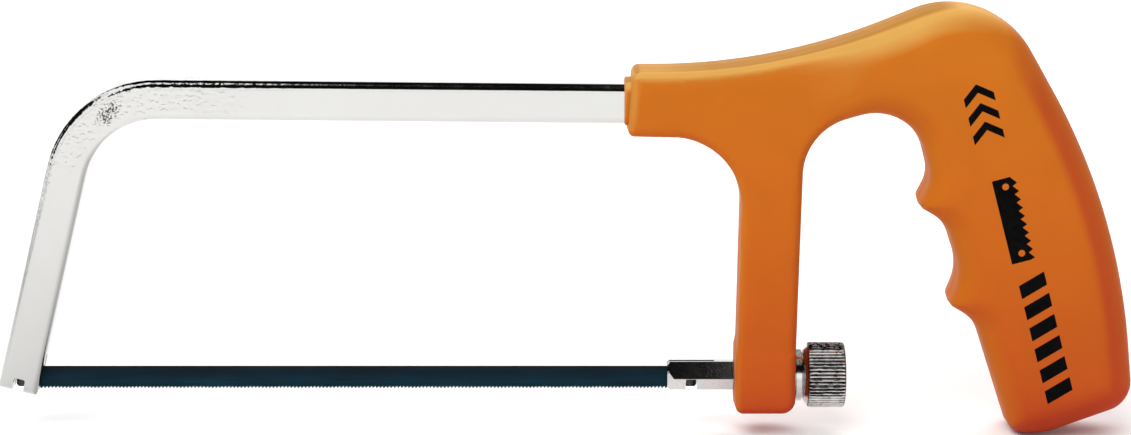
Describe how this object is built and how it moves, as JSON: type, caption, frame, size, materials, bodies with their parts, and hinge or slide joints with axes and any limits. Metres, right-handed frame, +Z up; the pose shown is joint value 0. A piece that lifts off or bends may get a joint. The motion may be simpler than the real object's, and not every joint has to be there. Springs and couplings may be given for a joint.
{
  "type": "hacksaw",
  "caption": "Small hand hacksaw: bent square bar bow, orange closed-grip handle, pin-end blade and a knurled thumb nut that tensions it.",
  "frame": {"origin": "on the resting level, under the middle of the saw's length and on the middle plane of the blade", "axes": "+X from the nose of the bow to the grip, +Y to the saw's right side, +Z up from the blade to the top of the handle"},
  "size_m": [0.2507, 0.0236, 0.0955],
  "materials": {
    "plated_bar": "bright nickel plating over drawn steel bar",
    "plated_fitting": "bright plating, slightly mottled",
    "blued_steel": "blue-black hardened steel strip",
    "pin_steel": "dark steel",
    "screw_steel": "zinc plated",
    "orange_plastic": "smooth satin moulded plastic"
  },
  "bodies": {
    "frame": {"frame_bow": "plated_bar", "handle_shell_left": "orange_plastic", "handle_shell_right": "orange_plastic", "handle_screws": "screw_steel", "rod_ferrule": "plated_fitting"},
    "saw_blade": {"blade": "blued_steel", "blade_pin_front": "pin_steel", "blade_pin_rear": "pin_steel"},
    "rod": {"tension_rod": "plated_fitting"},
    "nut": {"thumb_nut": "plated_fitting"}
  },
  "joints": [
    {"name": "nut_turn", "type": "hinge", "parent": "frame", "child": "nut", "pos_m": [0.0575, 0, 0.0122], "axis": [1, 0, 0], "range_deg": [0, 360]},
    {"name": "rod_slide", "type": "slide", "parent": "frame", "child": "rod", "axis": [-1, 0, 0], "range_m": [0, 0.0008]},
    {"name": "blade_swing", "type": "hinge", "parent": "frame", "child": "saw_blade", "pos_m": [-0.1202, 0, 0.0113], "axis": [0, 1, 0], "range_deg": [0, 60]}
  ],
  "couplings": [
    {"joint": "nut_turn", "follows": "rod_slide", "rad_per_m": 7854}
  ]
}
